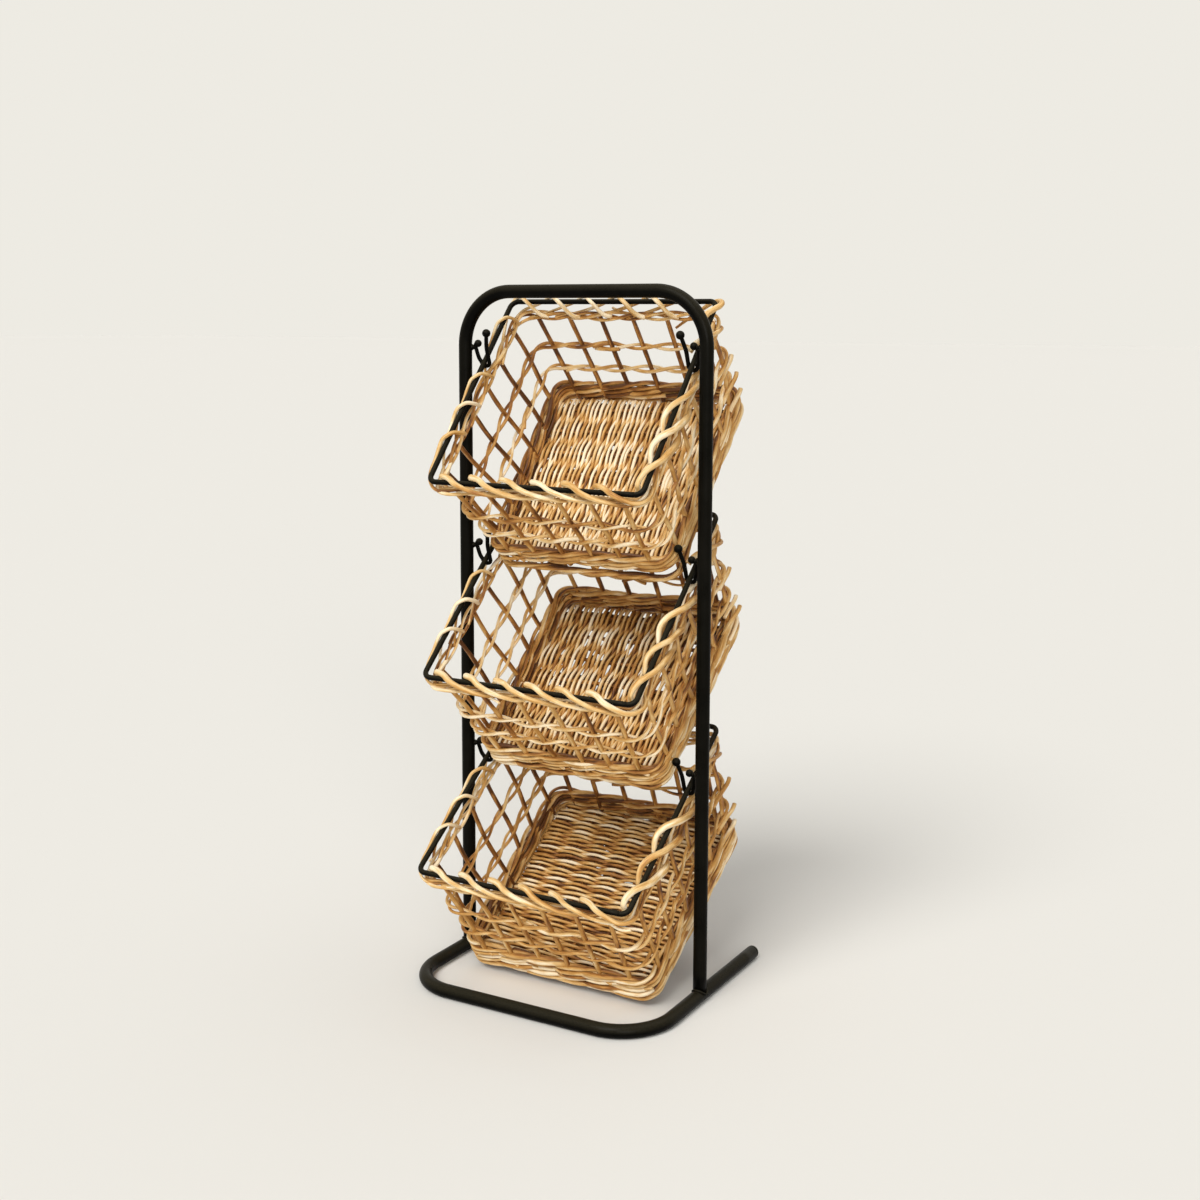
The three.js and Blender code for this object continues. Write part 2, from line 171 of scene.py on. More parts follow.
def paintMaterial(name, look):
    material, tree, shader = newMaterial(name)
    surface = tree.nodes.new("ShaderNodeTexCoord")
    patches = noiseNode(tree, surface.outputs["Object"], *look["patchNoise"])
    peel = noiseNode(tree, surface.outputs["Object"], *look["peelNoise"])
    upPart = addNode(tree, "SeparateXYZ", "Z", {"Vector": surface.outputs["Normal"]}, {})
    topSheenShare = spreadNode(tree, upPart, *look["topSheenSpread"])
    speckle = spreadNode(tree, peel, *look["speckleSpread"])
    # painted sheen, partly dust: faces that point up are lightened, as if light fell on them
    dustAndSheenMask = mathNode(tree, "MULTIPLY", topSheenShare, speckle)
    colour = mixNode(tree, dustAndSheenMask, rampNode(tree, patches, look["tones"]), look["dustAndTopSheen"])
    gloss = spreadNode(tree, patches, *look["glossSpread"])
    finishShader(tree, shader, colour, gloss, bumpNode(tree, peel, *look["peelBump"]), look["specular"])
    return material


# cane: each strand carries its own tone, with painted shade added, and a coordinate that runs along it
caneLook = {
    "tones": [
        (0.0, (0.100, 0.034, 0.007)),
        (0.22, (0.320, 0.126, 0.025)),
        (0.48, (0.570, 0.297, 0.076)),
        (0.74, (0.750, 0.500, 0.212)),
        (1.0, (0.940, 0.780, 0.530)),
    ],
    "stain": (0.240, 0.090, 0.024),
    "stainSpread": (0.55, 0.0, 0.16, 0.36),
    "grainScale": (1400.0, 1400.0, 55.0),
    "grainNoise": (1.0, 4.0, 0.6),
    "grainSpread": (-0.13, 0.13, 0.25, 0.75),
    "grainBump": (0.55, 0.00030),
    "blotchScale": (160.0, 160.0, 42.0),
    "blotchNoise": (1.0, 3.0, 0.55),
    "blotchSpread": (-0.46, 0.42, 0.22, 0.78),
    "glossSpread": (0.36, 0.58, 0.25, 0.75),
    "specular": 0.32,
}


def caneMaterial(name, look):
    material, tree, shader = newMaterial(name)
    place = addNode(tree, "Attribute", "Vector", {}, {}, attribute_name="strandPlace")
    tone = addNode(tree, "Attribute", "Fac", {}, {}, attribute_name="strandTone")
    grainPlace = addNode(tree, "Mapping", "Vector", {"Vector": place}, {"Scale": look["grainScale"]})
    blotchPlace = addNode(tree, "Mapping", "Vector", {"Vector": place}, {"Scale": look["blotchScale"]})
    grain = noiseNode(tree, grainPlace, *look["grainNoise"])
    blotch = noiseNode(tree, blotchPlace, *look["blotchNoise"])
    blotched = mathNode(tree, "ADD", tone, spreadNode(tree, blotch, *look["blotchSpread"]))
    streaked = mathNode(tree, "ADD", blotched, spreadNode(tree, grain, *look["grainSpread"]))
    stained = spreadNode(tree, blotch, *look["stainSpread"])
    colour = mixNode(tree, stained, rampNode(tree, streaked, look["tones"]), look["stain"])
    gloss = spreadNode(tree, grain, *look["glossSpread"])
    finishShader(tree, shader, colour, gloss, bumpNode(tree, grain, *look["grainBump"]), look["specular"])
    return material


blackPaint = paintMaterial("blackPaint", paintLook)
plugTones = [(0.34, (0.0045, 0.0045, 0.0042)), (0.72, (0.010, 0.0096, 0.0088))]
plugLook = dict(paintLook, tones=plugTones, glossSpread=(0.48, 0.62, 0.3, 0.7))
plugPlastic = paintMaterial("plugPlastic", plugLook)
wallCane = caneMaterial("wallCane", caneLook)
matCane = caneMaterial("matCane", dict(caneLook, glossSpread=(0.42, 0.62, 0.25, 0.75)))
print("materials made")


# strands: each is swept to a closed tube, all strands of a piece share one mesh
strandForm = {
    "swellWaves": (190, 71),  # radians per metre
    "startSpread": 40,
    "spareHint": (0.31, 0.52, 0.79),  # where a strand runs along its own hint
    "shortest": 1e-6,
}


def smoothLine(points, step):
    points = np.asarray(points, float)
    padded = np.vstack([2 * points[0] - points[1], points, 2 * points[-1] - points[-2]])
    line = []
    for i in range(1, len(padded) - 2):
        a, b, c, d = padded[i - 1:i + 3]
        count = max(2, int(math.ceil(np.linalg.norm(c - b) / step)))
        t = (np.arange(count) / count)[:, None]
        square = 2 * a - 5 * b + 4 * c - d
        cube = 3 * b - a - 3 * c + d
        curve = 2 * b + (c - a) * t + square * t ** 2 + cube * t ** 3
        line.append(curve / 2)
    line.append(points[-1:])
    return np.vstack(line)


def strandFrames(line, hint):
    tangents = np.gradient(line, axis=0)
    tangents /= np.linalg.norm(tangents, axis=1)[:, None]
    side = np.asarray(hint, float)
    sides = np.empty_like(line)
    for i, tangent in enumerate(tangents):
        side = side - tangent * side.dot(tangent)
        length = np.linalg.norm(side)
        if length < strandForm["shortest"]:
            side = np.cross(tangent, strandForm["spareHint"])
            length = np.linalg.norm(side)
        side = side / length
        sides[i] = side
    return sides, np.cross(tangents, sides)


def addStrand(bundle, line, thickness, tone, hint=(0, 0, 1), flat=1.0, taper=(1.0, 1.0),
              rough=0.05, shade=(0, 0)):
    line = np.asarray(line, float)
    reach = np.concatenate([[0], np.cumsum(np.linalg.norm(np.diff(line, axis=0), axis=1))])
    share = reach / reach[-1]
    start = bundle["draw"].random() * strandForm["startSpread"]
    quick, slow = strandForm["swellWaves"]
    swell = 1 + rough * np.sin(reach * quick + start) * np.sin(reach * slow + 2 * start)
    radius = thickness / 2 * swell * (taper[0] + (taper[1] - taper[0]) * share)
    sides, ups = strandFrames(line, hint)
    count = bundle["sides"]
    angles = np.arange(count) * 2 * math.pi / count
    rings = (line[:, None]
             + radius[:, None, None] * (sides[:, None] * flat * np.cos(angles)[None, :, None]
                                        + ups[:, None] * np.sin(angles)[None, :, None]))
    place = np.empty_like(rings)
    place[..., 0] = thickness / 2 * np.cos(angles) + start
    place[..., 1] = thickness / 2 * np.sin(angles) + start
    place[..., 2] = reach[:, None] + start
    first = bundle["count"]
    n = len(line)
    bundle["verts"].append(rings.reshape(-1, 3))
    bundle["places"].append(place.reshape(-1, 3))
    # painted shade: a strand is darker at its sides, by the two shares given as shade
    paintedFlankShade = shade[0] * np.cos(angles) ** 2 + shade[1] * np.sin(angles) ** 2
    tones = np.broadcast_to(tone, n)[:, None] + bundle["tone"] - paintedFlankShade[None]
    bundle["tones"].append(tones.ravel())
    bundle["count"] += n * count
    i, j = np.meshgrid(np.arange(n - 1), np.arange(count), indexing="ij")
    k = (j + 1) % count
    quads = np.stack([i * count + j, i * count + k, (i + 1) * count + k, (i + 1) * count + j], -1)
    bundle["quads"].append(quads.reshape(-1, 4) + first)
    bundle["caps"].append((first, first + (n - 1) * count))


def newBundle(sides, seed, tone=0.0):
    return {"tone": tone, "verts": [], "places": [], "tones": [], "quads": [], "caps": [], "count": 0,
            "sides": sides, "draw": random.Random(seed)}


def bundlePiece(name, bundle, material, body, nodes):
    verts = np.vstack(bundle["verts"])
    faces = np.vstack(bundle["quads"]).tolist()
    count = bundle["sides"]
    for low, high in bundle["caps"]:
        faces.append([low + j for j in reversed(range(count))])
        faces.append([high + j for j in range(count)])
    mesh = bpy.data.meshes.new(name)
    mesh.from_pydata(verts.tolist(), [], faces)
    place = mesh.attributes.new("strandPlace", "FLOAT_VECTOR", "POINT")
    place.data.foreach_set("vector", np.vstack(bundle["places"]).astype(np.float32).ravel())
    tone = mesh.attributes.new("strandTone", "FLOAT", "POINT")
    tone.data.foreach_set("value", np.concatenate(bundle["tones"]).astype(np.float32))
    smooth = np.ones(len(faces), bool)
    smooth[-2 * len(bundle["caps"]):] = False
    mesh.polygons.foreach_set("use_smooth", smooth)
    mesh.update()
    placePiece(name, mesh, material, body, nodes)


def placePiece(name, mesh, material, body, nodes):
    piece = bpy.data.objects.new(name, mesh)
    scene.collection.objects.link(piece)
    mesh.materials.append(material)
    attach(piece, body)
    if nodes:
        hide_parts(*nodes)


# the black stand: smooth tubes over the same lines as the frame
standShape = {
    "bendRadius": 0.0475,
    "tubeSides": 40,
    "bendSteps": 20,
    "straightStep": 0.02,
    "weldBead": 0.0011,
    "weldLift": 0.3,  # middle of the bead above the tube, as a share of the bead
    "weldRough": 0.22,
    "weldSteps": 56,
    "weldSides": 10,
    "plugCollar": [(0.93, -0.3), (0.985, 0.02), (1.0, 0.08), (1.0, 0.22)],  # shares of radius and dome
    "plugRound": 0.8,
    "plugRings": 12,
}


def bentLine(start, along, across, span, reach, shape):
    radius = shape["bendRadius"]
    start, along, across = (np.array(v, float) for v in (start, along, across))
    corner = start + along * (reach - radius)
    line = [start]
    straight = max(2, int((reach - radius) / shape["straightStep"]))
    line += [start + (corner - start) * i / straight for i in range(1, straight)]
    for centre, turn in ((across * radius, 0.0), (across * (span - radius), math.pi / 2)):
        for i in range(shape["bendSteps"] + 1):
            angle = turn + i / shape["bendSteps"] * math.pi / 2
            out = -across * math.cos(angle) + along * math.sin(angle)
            line.append(corner + centre + out * radius)
    end = start + across * span
    top = corner + across * span
    line += [top + (end - top) * i / straight for i in range(1, straight + 1)]
    return np.array(line)


def tubePiece(name, line, diameter, body, nodes, sides, hint):
    bundle = newBundle(sides, 1)
    addStrand(bundle, line, diameter, 0.5, hint=hint, rough=0.0)
    bundlePiece(name, bundle, blackPaint, body, nodes)


def makeStand(shape):
    low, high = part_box("base_loop")
    diameter = high.z - low.z
    radius = diameter / 2
    railX = high.x - radius
    loopStart = (-railX, high.y, radius)
    loop = bentLine(loopStart, (0, -1, 0), (1, 0, 0), 2 * railX, high.y - low.y - radius, shape)
    tubePiece("base_loop_tube", loop, diameter, "stand", ["base_loop"], shape["tubeSides"], (0, 0, 1))
    archLow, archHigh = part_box("arch_tube")
    archY = (archLow.y + archHigh.y) / 2
    archStart = (-railX, archY, radius)
    arch = bentLine(archStart, (0, 0, 1), (1, 0, 0), 2 * railX, archHigh.z - diameter, shape)
    tubePiece("arch_bent_tube", arch, diameter, "stand", ["arch_tube"], shape["tubeSides"], (0, 1, 0))
    welds = newBundle(shape["weldSides"], 2)
    out = radius + shape["weldLift"] * shape["weldBead"]
    for side in (-1, 1):
        ring = []
        for i in range(shape["weldSteps"] + 1):
            angle = i / shape["weldSteps"] * 2 * math.pi
            lift = math.sqrt(max(out ** 2 - (radius * math.cos(angle)) ** 2, 0.0))
            x, y = side * railX + out * math.cos(angle), archY + out * math.sin(angle)
            ring.append((x, y, radius + lift))
        addStrand(welds, np.array(ring), 2 * shape["weldBead"], 0.5, rough=shape["weldRough"])
    bundlePiece("foot_welds", welds, blackPaint, "stand", [])
    for side, word in ((-1, "left"), (1, "right")):
        plugPiece("end_cap_" + word, side * railX, high.y, radius, shape, "end_plug_" + word)


def plugPiece(name, x, startY, radius, shape, node):
    _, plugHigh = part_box(node)
    dome = plugHigh.y - startY
    rings = [(share * radius, rise * dome) for share, rise in shape["plugCollar"]]
    lip = rings[-1][1]
    for i in range(1, shape["plugRings"]):
        angle = i / shape["plugRings"] * math.pi / 2
        rings.append((radius * math.cos(angle) ** shape["plugRound"], lip + (dome - lip) * math.sin(angle)))
    count = shape["tubeSides"]
    verts = []
    for reach, y in rings:
        for j in range(count):
            angle = j / count * 2 * math.pi
            verts.append((x + reach * math.cos(angle), startY + y, radius + reach * math.sin(angle)))
    verts.append((x, startY + dome, radius))
    faces = [list(range(count))]
    for i in range(len(rings) - 1):
        for j in range(count):
            k = (j + 1) % count
            faces.append((i * count + j, (i + 1) * count + j, (i + 1) * count + k, i * count + k))
    last = (len(rings) - 1) * count
    faces += [(last + j, len(verts) - 1, last + (j + 1) % count) for j in range(count)]
    mesh = bpy.data.meshes.new(name)
    mesh.from_pydata(verts, [], faces)
    for polygon in mesh.polygons:
        polygon.use_smooth = True
    placePiece(name, mesh, plugPlastic, "stand", [node])


# wire hooks: a bow under the rim wire, a ball at the prong and one by the weld
hookShape = {
    "wire": 0.0037,
    "reach": 0.0105,
    "depth": 0.019,
    "bow": 0.0039,
    "bowEase": 0.0007,
    "bowSteps": 4,
    "flat": 0.0003,
    "lean": math.radians(20),
    "shank": [(0.0002, 0.35), (0.001, 0.75)],  # past the stub, share of the bow's depth
    "prongFoot": [(0.0, 0.45), (0.08, 0.12)],  # shares of the splay and of the bow's depth
    "prongTip": [(0.5, 0.42), (1.0, 1.0)],  # shares of the splay and of the rise
    "prongRise": 0.0115,
    "prongSplay": 0.0033,
    "upperBall": 0.0076,
    "lowerBall": 0.0068,
    "lowerReach": 0.0068,
    "lowerLead": (0.0026, 0.3),  # back from the ball, share of the wire
    "ballTurn": 0.97, "ballRings": 12,
    "stubShort": 0.0002, "stubSink": 0.0006, "stubStep": 0.001,
    "weldSink": 0.0004, "weldReach": 0.0011, "weldStep": 0.0004,
    "weldSize": 1.55, "weldTaper": (1.0, 0.66),
    "rough": 0.02, "sides": 14, "step": 0.0006,
}


def hookLine(shape):
    wire, bow, splay = shape["wire"], shape["bow"], shape["prongSplay"]
    bowX, bowY = shape["flat"] + bow, bow - shape["depth"] - shape["bowEase"]
    stub = wire - shape["stubShort"]
    lead, leadRise = shape["lowerLead"]
    lower = shape["lowerReach"]
    route = [(lower, wire / 2), (lower - lead, wire * leadRise), (stub, -wire / 2)]
    route += [(stub + past, bowY * share) for past, share in shape["shank"]]
    for side, turn in ((-1, math.pi), (1, 1.5 * math.pi)):
        for i in range(shape["bowSteps"] + 1):
            angle = turn + i / shape["bowSteps"] * math.pi / 2
            x = shape["reach"] + side * shape["flat"] + bow * math.cos(angle)
            route.append((x, bowY + bow * math.sin(angle)))
    inner = shape["reach"] + bowX
    route += [(inner + splay * out, bowY * share) for out, share in shape["prongFoot"]]
    route += [(inner + splay * out, shape["prongRise"] * share) for out, share in shape["prongTip"]]
    return smoothLine([(x, y, 0.0) for x, y in route], shape["step"])


def hookToWorld(points, side, innerFace, pivot, shape):
    x, y = np.asarray(points)[:, :2].T
    leanBack, leanUp = math.sin(shape["lean"]), math.cos(shape["lean"])
    originY = pivot.y - shape["depth"] * leanBack
    originZ = pivot.z + shape["depth"] * leanUp
    return np.stack([side * (innerFace - x), originY - y * leanBack, originZ + y * leanUp], -1)


def addBall(bundle, centre, diameter, shape):
    # a ball is a very short strand with a round swell
    axis = (0, -math.sin(shape["lean"]), math.cos(shape["lean"]))
    rings = shape["ballRings"]
    turns = np.linspace(-shape["ballTurn"], shape["ballTurn"], rings) * math.pi / 2
    line = np.asarray(centre) + np.sin(turns)[:, None] * (diameter / 2) * np.asarray(axis)
    addStrand(bundle, line, diameter, 0.5, rough=0.0)
    block = bundle["verts"][-1].reshape(rings, bundle["sides"], 3)
    block[:] = line[:, None] + (block - line[:, None]) * np.cos(turns)[:, None, None]


def makeHooks(shape):
    archLow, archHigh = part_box("arch_tube")
    innerFace = archHigh.x - (archHigh.y - archLow.y)
    wire = shape["wire"]
    flatLines = (
        hookLine(shape),
        [(-shape["stubSink"], -wire / 2), (wire, -wire / 2)],
        [(-shape["weldSink"], -wire / 2), (shape["weldReach"], -wire / 2)],
    )
    for tier in tiers:
        pivot = pivots[tier + "_tray"]
        for side, word in ((-1, "left"), (1, "right")):
            bundle = newBundle(shape["sides"], 3)
            line, stub, weld = (hookToWorld(flat, side, innerFace, pivot, shape) for flat in flatLines)
            addStrand(bundle, line, wire, 0.5, hint=(0, 1, 0), rough=shape["rough"])
            addStrand(bundle, smoothLine(stub, shape["stubStep"]), wire, 0.5, rough=0.0)
            weldLine = smoothLine(weld, shape["weldStep"])
            addStrand(bundle, weldLine, wire * shape["weldSize"], 0.5, taper=shape["weldTaper"], rough=0.0)
            addBall(bundle, line[0], shape["lowerBall"], shape)
            addBall(bundle, line[-1], shape["upperBall"], shape)
            name = tier + "_" + word
            bundlePiece(name + "_wire_hook", bundle, blackPaint, "stand", [name + "_hook"])


makeStand(standShape)
makeHooks(hookShape)
print("stand and hooks made")


# one tray: its own frame has the rim's middle at the origin, x right, y back, z out of the mouth
trayShape = {
    "rimLength": 0.204, "rimWire": 0.004, "rimShown": 0.0047, "rimCorner": 0.007,
    "rimSteps": 10, "rimStraight": 0.008, "rimSides": 16,
    "depth": 0.1175,
    "baseHalf": 0.087,  # to the middle of the wale, before it settles
    "baseTaper": 0.0105,  # how far the foot of the end walls comes in, to the middle of the wale
    "baseForward": 0.012,
    "wale": 0.007,
    "sideRun": 0.205,  # about the length of one side, for counting points
    "lowest": 1.05,  # share of the depth where the walls stop closing in
    "corners": [(0.0, 0.008), (0.018, 0.0135), (0.1175, 0.0105)],
    # painted shade: the bottom tray, under the others, has a darker tone
    "tones": {"top": 0.10, "middle": 0.10, "bottom": 0.05},
    "stakesPerSide": 6,
    "stakeSpread": 0.81,
}


# how far each base hangs lower and bulges wider, at its front and at its back edge
settling = {
    "top": {"lower": (0.0, 0.0), "wider": (0.0, 0.007)},
    "middle": {"lower": (0.004, 0.013), "wider": (0.0, 0.005)},
    "bottom": {"lower": (0.004, 0.015), "wider": (0.005, 0.009)},
}


def settled(tray, points):
    share = np.clip(-points[..., 2] / tray["depth"], 0, 1)
    length = tray["rimLength"] - 2 * tray["baseTaper"] + tray["wale"]
    back = np.clip(0.5 + (points[..., 1] + tray["baseForward"] * share) / length, 0, 1)
    lower, wider = (np.interp(back, (0, 1), settling[tray["tier"]][key]) for key in ("lower", "wider"))
    grow = 1 + share * wider / (tray["baseHalf"] + tray["wale"] / 2)
    return np.stack([points[..., 0] * grow, points[..., 1], points[..., 2] - share * lower], -1)


def trayFrame(tier, shape):
    low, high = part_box(tier + "_rim_wire")
    size = high - low
    length, wire = shape["rimLength"] + shape["rimWire"], shape["rimWire"]
    tilt = math.atan2(length * size.z - wire * size.y, length * size.y - wire * size.z)
    matrix = np.array(Matrix.Translation((low + high) / 2) @ Matrix.Rotation(tilt, 4, "X"))
    return {
        **shape,
        "tier": tier,
        "body": tier + "_tray",
        "tone": shape["tones"][tier],
        "matrix": matrix,
        "up": matrix[:3, 2],
        "rimHalf": (size.x - wire) / 2,
    }


def toWorld(tray, points):
    points = settled(tray, np.asarray(points, float))
    return points @ tray["matrix"][:3, :3].T + tray["matrix"][:3, 3]


def trayPiece(tray, word, bundle, material, nodeWords):
    nodes = [tray["tier"] + "_" + nodeWord for nodeWord in nodeWords]
    bundlePiece(tray["tier"] + "_" + word, bundle, material, tray["body"], nodes)


# the wall's middle line: p counts sides from the front, round to the right, the back and the left
def wallPoints(tray, p, drop, outward):
    p, drop, outward = np.broadcast_arrays(*(np.asarray(v, float) for v in (p, drop, outward)))
    share = np.clip(drop / tray["depth"], 0, tray["lowest"])
    halfX = tray["rimHalf"] + (tray["baseHalf"] - tray["rimHalf"]) * share
    halfY = tray["rimLength"] / 2 - tray["baseTaper"] * share
    middleY = -tray["baseForward"] * share
    corner = np.interp(drop, *zip(*tray["corners"]))
    turn = np.floor(p).astype(int) % 4
    run = 2 * (p - np.floor(p)) - 1
    faceX, faceY = np.choose(turn, [0, 1, 0, -1]), np.choose(turn, [-1, 0, 1, 0])
    alongX, alongY = -faceY, faceX
    half = np.where(turn % 2 == 0, halfX, halfY)
    reach = np.where(turn % 2 == 0, halfY, halfX)
    straight = half - corner
    offset = np.abs(run) * half
    angle = np.clip(offset - straight, 0, None) / corner * math.pi / 4
    along = np.sign(run) * (np.minimum(offset, straight) + corner * np.sin(angle))
    out = reach - corner + corner * np.cos(angle)
    sway = np.sign(run) * np.sin(angle)
    normalX = faceX * np.cos(angle) + alongX * sway
    normalY = faceY * np.cos(angle) + alongY * sway
    x = faceX * out + alongX * along + normalX * outward
    y = faceY * out + alongY * along + normalY * outward + middleY
    return np.stack([x, y, -drop], -1)


def stakeParams(tray):
    count = tray["stakesPerSide"]
    shares = [tray["stakeSpread"] * (2 * j / (count - 1) - 1) for j in range(count)]
    return np.array([side + 0.5 + 0.5 * share for side in range(4) for share in shares])


def stakeCount(tray, p):
    # how many stakes lie before p, without a jump at the start
    stakes = stakeParams(tray)
    n = len(stakes)
    wide = np.concatenate([stakes[-2:] - 4, stakes, stakes + 4, stakes[:2] + 8])
    return np.interp(p % 4, wide, np.arange(-2, 2 * n + 2))


def wobble(draw, p, size, waves=(1.7, 3.1, 5.3)):
    p = np.asarray(p, float)
    total = np.zeros_like(p)
    for wave in waves:
        total += np.sin(p * wave * math.pi / 2 + draw.random() * 20) / math.sqrt(wave)
    return size * total


# pairs such as sizes, tones and lifts give the low end of a draw and its spread
def drawn(draw, low, spread):
    return low + draw.random() * spread


def jitter(draw, size):
    return (draw.random() - 0.5) * size


def tuckedEnds(count, steps):
    # 1 at both ends of a run, falling to 0 within the steps
    share = np.linspace(0, 1, count)
    return np.clip(1 - np.minimum(share, 1 - share) * count / steps, 0, 1)


def swung(draw, p, turn, drop, shift, swing, wander):
    # a cane that goes out and in, up and down as it turns
    out = shift + swing[0] * np.cos(turn) + wobble(draw, p, wander[0])
    drops = drop - swing[1] * np.sin(turn) + wobble(draw, p, wander[1])
    return out, drops


# open lattice: brown stakes and two twined rows of paired canes
latticeShape = {
    "sides": 8,
    "step": 0.0024,
    "flankShade": 0.28,  # painted shade: darker at the sides of a cane
    "stake": {
        "size": 0.0044, "taper": (0.92, 1.06), "top": 0.014, "foot": 0.114, "points": 40,
        "tones": (0.32, 0.34, 0.10, 0.12),  # front, right, back, left; the back and left stakes are darker as painted shade
        "toneSpread": 0.26,
        "bend": 0.0011, "waves": 62,  # metres, and radians per metre
        "sway": 3, "stray": 0.012, "lean": 0.12, "leanDrop": 0.06,
    },
    "row": {
        "drops": (0.0506, 0.0766), "rise": 0.0008, "runs": 3, "overlap": (0.10, 0.06),
        "cane": 0.0033, "sizes": (0.86, 0.32), "taper": (1.08, 0.8), "tones": (0.40, 0.66),
        "dipShade": 0.10,  # painted shade: darker before and behind a stake
        "out": 0.0026, "lift": 0.0012, "lifts": (0.75, 0.5), "wander": (0.0004, 0.0007),
        "tuck": 0.0022, "tuckSteps": 14,  # the ends of a run go behind the wall
    },
    # rods that end past the right back corner
    "cut": {
        "drops": (0.055, 0.080, 0.098), "dropSpread": 0.010, "rise": 0.004, "points": 12,
        "start": (1.80, 0.08), "stop": 1.97, "out": 0.002, "away": (0.0035, 0.0030),
        "tones": (0.42, 0.40), "size": 1.2, "taper": (0.9, 1.05),
    },
}


def makeLattice(tray, lattice, seed):
    bundle = newBundle(lattice["sides"], seed, tray["tone"])
    draw = random.Random(seed + 7)
    stake, row = lattice["stake"], lattice["row"]
    drops = np.linspace(stake["top"], stake["foot"], stake["points"])
    for p in stakeParams(tray):
        bend = stake["bend"] * np.sin(drops * stake["waves"] + draw.random() * 6)
        sideways = p + jitter(draw, stake["stray"])
        sideways = sideways + jitter(draw, stake["lean"]) * (drops - stake["leanDrop"])
        line = wallPoints(tray, sideways + bend * stake["sway"], drops, bend)
        tone = drawn(draw, stake["tones"][int(p)], stake["toneSpread"])
        addStrand(bundle, toWorld(tray, line), stake["size"], tone, rough=0.06,
                  taper=stake["taper"], shade=(0, lattice["flankShade"]))
    overlap, overlapSpread = row["overlap"]
    for drop in row["drops"]:
        for phase in (0.0, math.pi):
            start = draw.random() * 4
            for _ in range(row["runs"]):
                length = 4 / row["runs"] + overlap + overlapSpread * draw.random()
                makeTwine(tray, lattice, bundle, draw, drop, phase, start, start + length)
                start += 4 / row["runs"]
    makeCutEnds(tray, lattice, bundle, draw)
    walls = [word + "_wall" for word in ("front", "back", "left", "right")]
    trayPiece(tray, "lattice", bundle, wallCane, walls)


def makeTwine(tray, lattice, bundle, draw, drop, phase, start, end):
    row = lattice["row"]
    count = int((end - start) * tray["sideRun"] / lattice["step"])
    p = np.linspace(start, end, count)
    turn = math.pi * stakeCount(tray, p) + phase
    lift = row["lift"] * drawn(draw, *row["lifts"])
    out, drops = swung(draw, p, turn, drop, 0.0, (row["out"], lift), row["wander"])
    tuck = row["tuck"] * tuckedEnds(count, row["tuckSteps"]) ** 2
    line = wallPoints(tray, p, drops - row["rise"], out - tuck)
    tone = drawn(draw, *row["tones"]) - row["dipShade"] * np.abs(np.cos(turn))
    size = row["cane"] * drawn(draw, *row["sizes"])
    addStrand(bundle, toWorld(tray, line), size, tone, hint=tray["up"], rough=0.07,
              taper=row["taper"], shade=(lattice["flankShade"], 0))


def makeCutEnds(tray, lattice, bundle, draw):
    cut = lattice["cut"]
    run = np.linspace(0, 1, cut["points"])
    for drop in cut["drops"]:
        start = drawn(draw, *cut["start"])
        out = cut["out"] + drawn(draw, *cut["away"]) * run ** 1.5
        drops = drop + jitter(draw, cut["dropSpread"]) - cut["rise"] * run
        line = wallPoints(tray, start + (cut["stop"] - start) * run, drops, out)
        tone = drawn(draw, *cut["tones"])
        addStrand(bundle, toWorld(tray, line), lattice["row"]["cane"] * cut["size"], tone, taper=cut["taper"])


# waled band of three-cane courses, and a loose rope below it round the foot
waleShape = {
    "courses": [(0.0982, 0.0004), (0.1028, 0.0006), (0.1072, 0.0008)],  # drop, out from the wall line
    "fillCourse": (0.1116, 0.0014),
    "openFoot": ("top",),  # no fill course here, so the rope hangs free
    "foot": (0.1153, 0.0026),
    "footLimit": 0.0004,
    "footSag": 0.006,  # the rope hangs lower in front
    "filledSag": 0.0015, "sagStart": -0.048, "sagLength": 0.045,
    "cane": 0.0037, "sizes": (0.84, 0.4), "taper": (1.1, 0.82), "tones": (0.36, 0.72),
    "dipShade": 0.36,  # painted shade: darker where a cane goes behind a stake, and between the courses
    "swing": (0.0029, 0.0023),  # out and up
    "footSwing": (0.0016, 0.0013), "wander": (0.0005, 0.0009),
    "rods": 3, "runs": 2, "overlap": (0.08, 0.06), "tuck": 0.002, "tuckSteps": 12,
    "sideRun": 0.185, "sides": 8, "step": 0.0026,
    # a thick rod along the foot of each end wall
    "sideRod": {
        "middles": (1.5, 3.5), "span": (0.40, 0.42), "points": 50, "size": 0.0052, "tone": 0.40,
        "taper": (1.0, 0.9), "rise": 0.0062, "out": 0.0036, "wander": 0.0003,
    },
    "loose": {
        "count": 14, "points": 10, "size": 0.8, "tones": (0.4, 0.4), "taper": (1.0, 0.8),
        "spread": 0.016, "climb": (0.006, -0.01), "out": (-0.001, 0.0062),
        "length": 0.11,  # in sides
    },
}


